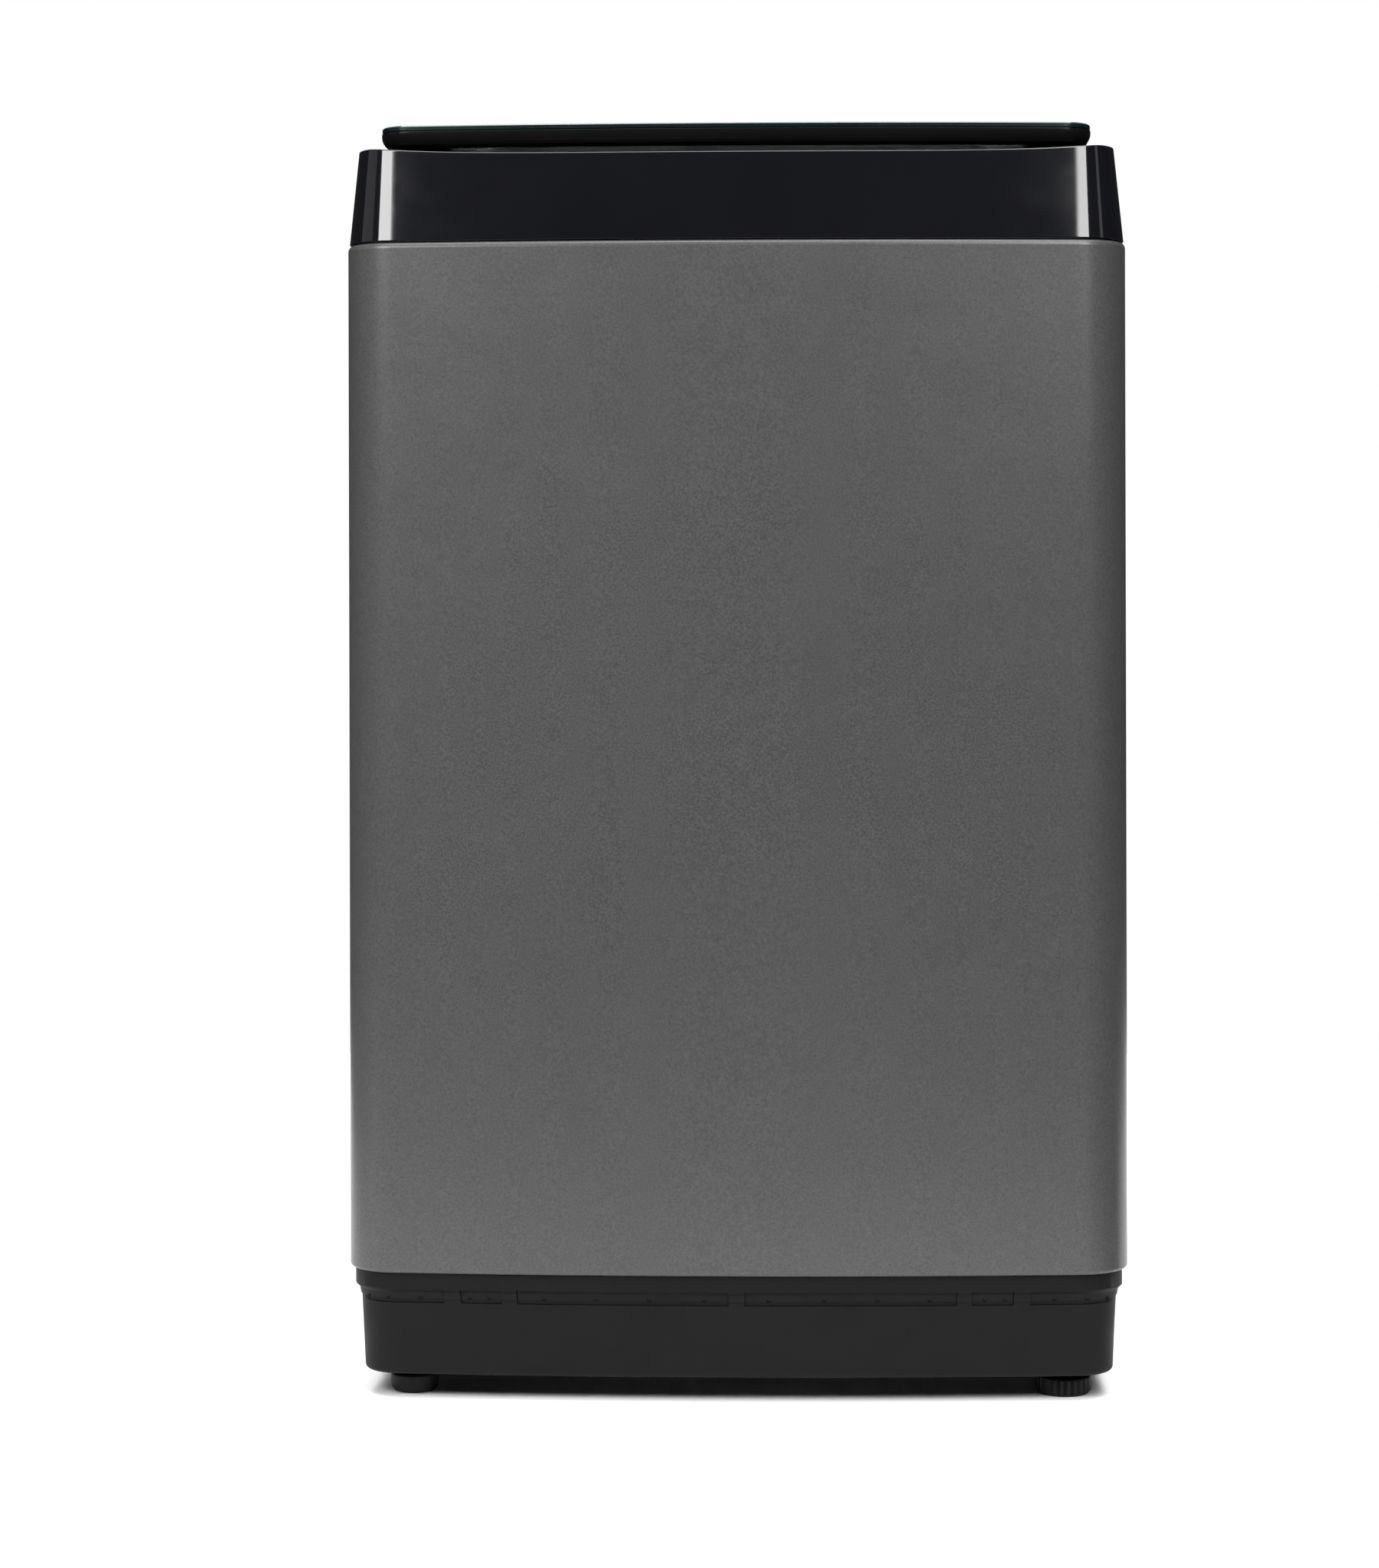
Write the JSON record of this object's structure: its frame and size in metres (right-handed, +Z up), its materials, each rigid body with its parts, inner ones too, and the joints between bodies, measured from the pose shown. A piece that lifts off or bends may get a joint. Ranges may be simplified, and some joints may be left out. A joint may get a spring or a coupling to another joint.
{
  "type": "top load washing machine",
  "caption": "Free-standing top load washing machine: painted cabinet on a plastic base, hinged glass lid, rear console, sprung tub with spinning basket and pulsator.",
  "frame": {"origin": "on the floor under the middle of the machine's bounding box", "axes": "+Z up, the front faces -Y, +X to the right seen from the front"},
  "size_m": [0.59, 0.61, 0.9879],
  "materials": {
    "cabinet": "satin metallic",
    "zinc_sheet": "galvanised",
    "screw_steel": "zinc plated",
    "base_plastic": "fine grain",
    "foot_rubber": "matte",
    "rod_steel": "drawn",
    "spring_steel": "drawn",
    "white_nylon": "smooth",
    "cover_gloss": "gloss",
    "lid_gloss": "gloss",
    "tub_plastic": "smooth",
    "panel_gloss": "gloss",
    "smoked_window": "gloss",
    "circuit_board": "lacquered",
    "valve_plastic": "smooth",
    "hose_rubber": "matte",
    "dark_plastic": "smooth",
    "tinted_glass": "gloss",
    "cast_aluminium": "die cast",
    "bearing_steel": "ground",
    "winding_copper": "enamelled",
    "basket_steel": "brushed",
    "ring_plastic": "smooth",
    "pulsator_plastic": "smooth",
    "rotor_steel": "zinc",
    "button_plastic": "satin"
  },
  "bodies": {
    "root": {"cabinet": "cabinet", "rear_panel": "zinc_sheet", "case_screws": "screw_steel", "base_frame": "base_plastic", "fixed_feet": "foot_rubber", "foot_lock_nut": "screw_steel", "corner_brackets": "zinc_sheet", "suspension_rods": "rod_steel", "suspension_springs": "spring_steel", "rod_seats": "white_nylon", "top_cover": "cover_gloss", "mouth_funnel": "tub_plastic", "console_housing": "cover_gloss", "console_panel": "panel_gloss", "display_window": "smoked_window", "control_board": "circuit_board", "inlet_valve": "valve_plastic", "inlet_duct": "hose_rubber", "detergent_housing": "tub_plastic", "pressure_sensor": "valve_plastic", "hinge_pins": "rod_steel", "lid_sensor": "dark_plastic", "power_gland": "foot_rubber", "drain_elbow": "dark_plastic", "drain_hose": "hose_rubber"},
    "lid": {"lid_frame": "lid_gloss", "lid_glass": "tinted_glass", "hinge_dampers": "white_nylon", "lid_bumpers": "foot_rubber", "lid_magnet": "screw_steel"},
    "drawer": {"detergent_drawer": "valve_plastic"},
    "tub": {"outer_tub": "tub_plastic", "tub_cover_ring": "tub_plastic", "damper_cups": "white_nylon", "bearing_housing": "cast_aluminium", "shaft_bearings": "bearing_steel", "tub_seal": "hose_rubber", "motor_stator": "winding_copper", "clutch_coil": "winding_copper", "drain_valve_body": "valve_plastic", "drain_actuator": "valve_plastic"},
    "basket": {"basket_wall": "basket_steel", "balance_ring": "ring_plastic", "basket_bottom": "ring_plastic", "basket_hub": "cast_aluminium", "lint_filters": "ring_plastic", "spin_shaft": "rod_steel"},
    "pulsator": {"pulsator": "pulsator_plastic", "pulsator_screw": "screw_steel", "wash_shaft": "rod_steel", "motor_rotor": "rotor_steel"},
    "coupler": {"clutch_coupler": "rotor_steel"},
    "plunger": {"drain_plunger": "dark_plastic"},
    "foot": {"levelling_foot": "foot_rubber"},
    "button_power": {"button_power": "button_plastic"},
    "button_start": {"button_start": "button_plastic"},
    "button_program": {"button_program": "button_plastic"},
    "button_level": {"button_level": "button_plastic"},
    "button_rinse": {"button_rinse": "button_plastic"},
    "button_spin": {"button_spin": "button_plastic"}
  },
  "joints": [
    {"name": "lid_hinge", "type": "hinge", "parent": "root", "child": "lid", "pos_m": [0, 0.119, 0.9502], "axis": [-1, 0, 0], "range_deg": [0, 95]},
    {"name": "drawer_slide", "type": "slide", "parent": "root", "child": "drawer", "axis": [0, -1, 0], "range_m": [0, 0.09]},
    {"name": "tub_bounce", "type": "slide", "parent": "root", "child": "tub", "axis": [0, 0, 1], "range_m": [-0.025, 0.008], "stiffness_N_per_m": 6000, "springref_m": 0.0499, "deforming": ["suspension_springs", "drain_hose"]},
    {"name": "basket_spin", "type": "hinge", "parent": "tub", "child": "basket", "pos_m": [0, -0.01, 0.3], "axis": [0, 0, 1], "continuous": true},
    {"name": "pulsator_spin", "type": "hinge", "parent": "basket", "child": "pulsator", "pos_m": [0, -0.01, 0.3], "axis": [0, 0, 1], "continuous": true},
    {"name": "clutch_slide", "type": "slide", "parent": "basket", "child": "coupler", "axis": [0, 0, 1], "range_m": [-0.0055, 0], "stiffness_N_per_m": 200, "springref_m": 0.02},
    {"name": "drain_pull", "type": "slide", "parent": "tub", "child": "plunger", "axis": [0, 1, 0], "range_m": [0, 0.014], "stiffness_N_per_m": 800, "springref_m": -0.01},
    {"name": "foot_height", "type": "slide", "parent": "root", "child": "foot", "axis": [0, 0, 1], "range_m": [-0.008, 0.004]},
    {"name": "press_power", "type": "slide", "parent": "root", "child": "button_power", "axis": [0, 0.1908, -0.9816], "range_m": [0, 0.0012], "stiffness_N_per_m": 600, "springref_m": -0.001},
    {"name": "press_start", "type": "slide", "parent": "root", "child": "button_start", "axis": [0, 0.1908, -0.9816], "range_m": [0, 0.0012], "stiffness_N_per_m": 600, "springref_m": -0.001},
    {"name": "press_program", "type": "slide", "parent": "root", "child": "button_program", "axis": [0, 0.1908, -0.9816], "range_m": [0, 0.0012], "stiffness_N_per_m": 600, "springref_m": -0.001},
    {"name": "press_level", "type": "slide", "parent": "root", "child": "button_level", "axis": [0, 0.1908, -0.9816], "range_m": [0, 0.0012], "stiffness_N_per_m": 600, "springref_m": -0.001},
    {"name": "press_rinse", "type": "slide", "parent": "root", "child": "button_rinse", "axis": [0, 0.1908, -0.9816], "range_m": [0, 0.0012], "stiffness_N_per_m": 600, "springref_m": -0.001},
    {"name": "press_spin", "type": "slide", "parent": "root", "child": "button_spin", "axis": [0, 0.1908, -0.9816], "range_m": [0, 0.0012], "stiffness_N_per_m": 600, "springref_m": -0.001}
  ]
}
